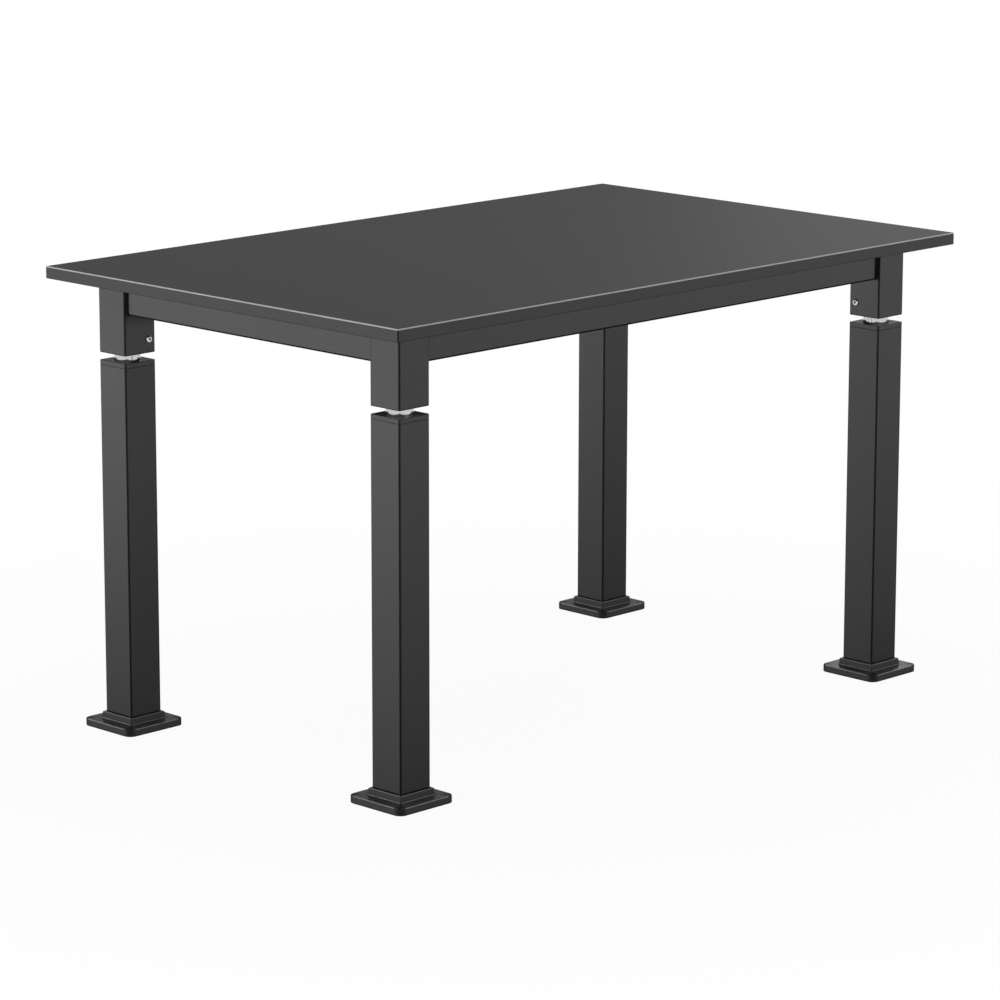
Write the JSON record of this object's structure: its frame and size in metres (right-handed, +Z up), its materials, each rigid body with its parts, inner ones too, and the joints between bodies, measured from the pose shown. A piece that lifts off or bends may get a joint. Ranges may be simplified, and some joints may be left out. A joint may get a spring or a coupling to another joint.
{
  "type": "height-adjustable laboratory table",
  "caption": "Height-adjustable laboratory table: plain dark slab top on a recessed steel frame, with round aluminium posts that slide in square legs standing on stepped boots.",
  "frame": {"origin": "On the floor, under the middle of the table at its lowest position.", "axes": "+X along the long side, +Y from the front long side to the back one, +Z up."},
  "size_m": [1.219, 0.762, 0.7136],
  "materials": {
    "resin_top": "solid resin slab, dark grey, satin",
    "powder_coat": "dark grey powder coat on steel tube, satin",
    "moulded_plastic": "near-black moulded plastic, satin",
    "aluminium_post": "bright drawn tube, polished",
    "cast_block": "plain casting",
    "bright_screw": "zinc-plated steel",
    "glide_plastic": "natural white bearing plastic",
    "chromed_rod": "ground and chromed rod",
    "foot_steel": "plain steel"
  },
  "bodies": {
    "table_frame": {"work_top": "resin_top", "apron_front": "powder_coat", "apron_back": "powder_coat", "apron_left": "powder_coat", "apron_right": "powder_coat", "leg_socket_front_left": "powder_coat", "leg_socket_front_right": "powder_coat", "leg_socket_back_left": "powder_coat", "leg_socket_back_right": "powder_coat", "post_block_front_left": "cast_block", "post_block_front_right": "cast_block", "post_block_back_left": "cast_block", "post_block_back_right": "cast_block", "socket_screw_x_front_left": "bright_screw", "socket_screw_x_front_right": "bright_screw", "socket_screw_x_back_left": "bright_screw", "socket_screw_x_back_right": "bright_screw", "socket_screw_y_front_left": "bright_screw", "socket_screw_y_front_right": "bright_screw", "socket_screw_y_back_left": "bright_screw", "socket_screw_y_back_right": "bright_screw", "guide_post_front_left": "aluminium_post", "guide_post_front_right": "aluminium_post", "guide_post_back_left": "aluminium_post", "guide_post_back_right": "aluminium_post", "post_glide_front_left": "glide_plastic", "post_glide_front_right": "glide_plastic", "post_glide_back_left": "glide_plastic", "post_glide_back_right": "glide_plastic", "corner_plate_front_left": "powder_coat", "corner_plate_front_right": "powder_coat", "corner_plate_back_left": "powder_coat", "corner_plate_back_right": "powder_coat", "top_screw_front_left": "bright_screw", "top_screw_front_right": "bright_screw", "top_screw_back_left": "bright_screw", "top_screw_back_right": "bright_screw"},
    "leg_front_left": {"leg_tube_front_left": "powder_coat", "guide_cap_front_left": "moulded_plastic", "lift_rod_front_left": "chromed_rod", "foot_plug_front_left": "foot_steel", "boot_front_left": "moulded_plastic"},
    "leg_front_right": {"leg_tube_front_right": "powder_coat", "guide_cap_front_right": "moulded_plastic", "lift_rod_front_right": "chromed_rod", "foot_plug_front_right": "foot_steel", "boot_front_right": "moulded_plastic"},
    "leg_back_left": {"leg_tube_back_left": "powder_coat", "guide_cap_back_left": "moulded_plastic", "lift_rod_back_left": "chromed_rod", "foot_plug_back_left": "foot_steel", "boot_back_left": "moulded_plastic"},
    "leg_back_right": {"leg_tube_back_right": "powder_coat", "guide_cap_back_right": "moulded_plastic", "lift_rod_back_right": "chromed_rod", "foot_plug_back_right": "foot_steel", "boot_back_right": "moulded_plastic"}
  },
  "joints": [
    {"name": "lift_front_left", "type": "slide", "parent": "leg_front_left", "child": "table_frame", "axis": [0, 0, 1], "range_m": [0, 0.3]},
    {"name": "lift_front_right", "type": "slide", "parent": "table_frame", "child": "leg_front_right", "axis": [0, 0, -1], "range_m": [0, 0.3]},
    {"name": "lift_back_left", "type": "slide", "parent": "table_frame", "child": "leg_back_left", "axis": [0, 0, -1], "range_m": [0, 0.3]},
    {"name": "lift_back_right", "type": "slide", "parent": "table_frame", "child": "leg_back_right", "axis": [0, 0, -1], "range_m": [0, 0.3]}
  ],
  "couplings": [
    {"joint": "lift_front_right", "follows": "lift_front_left", "ratio": 1},
    {"joint": "lift_back_left", "follows": "lift_front_left", "ratio": 1},
    {"joint": "lift_back_right", "follows": "lift_front_left", "ratio": 1}
  ]
}
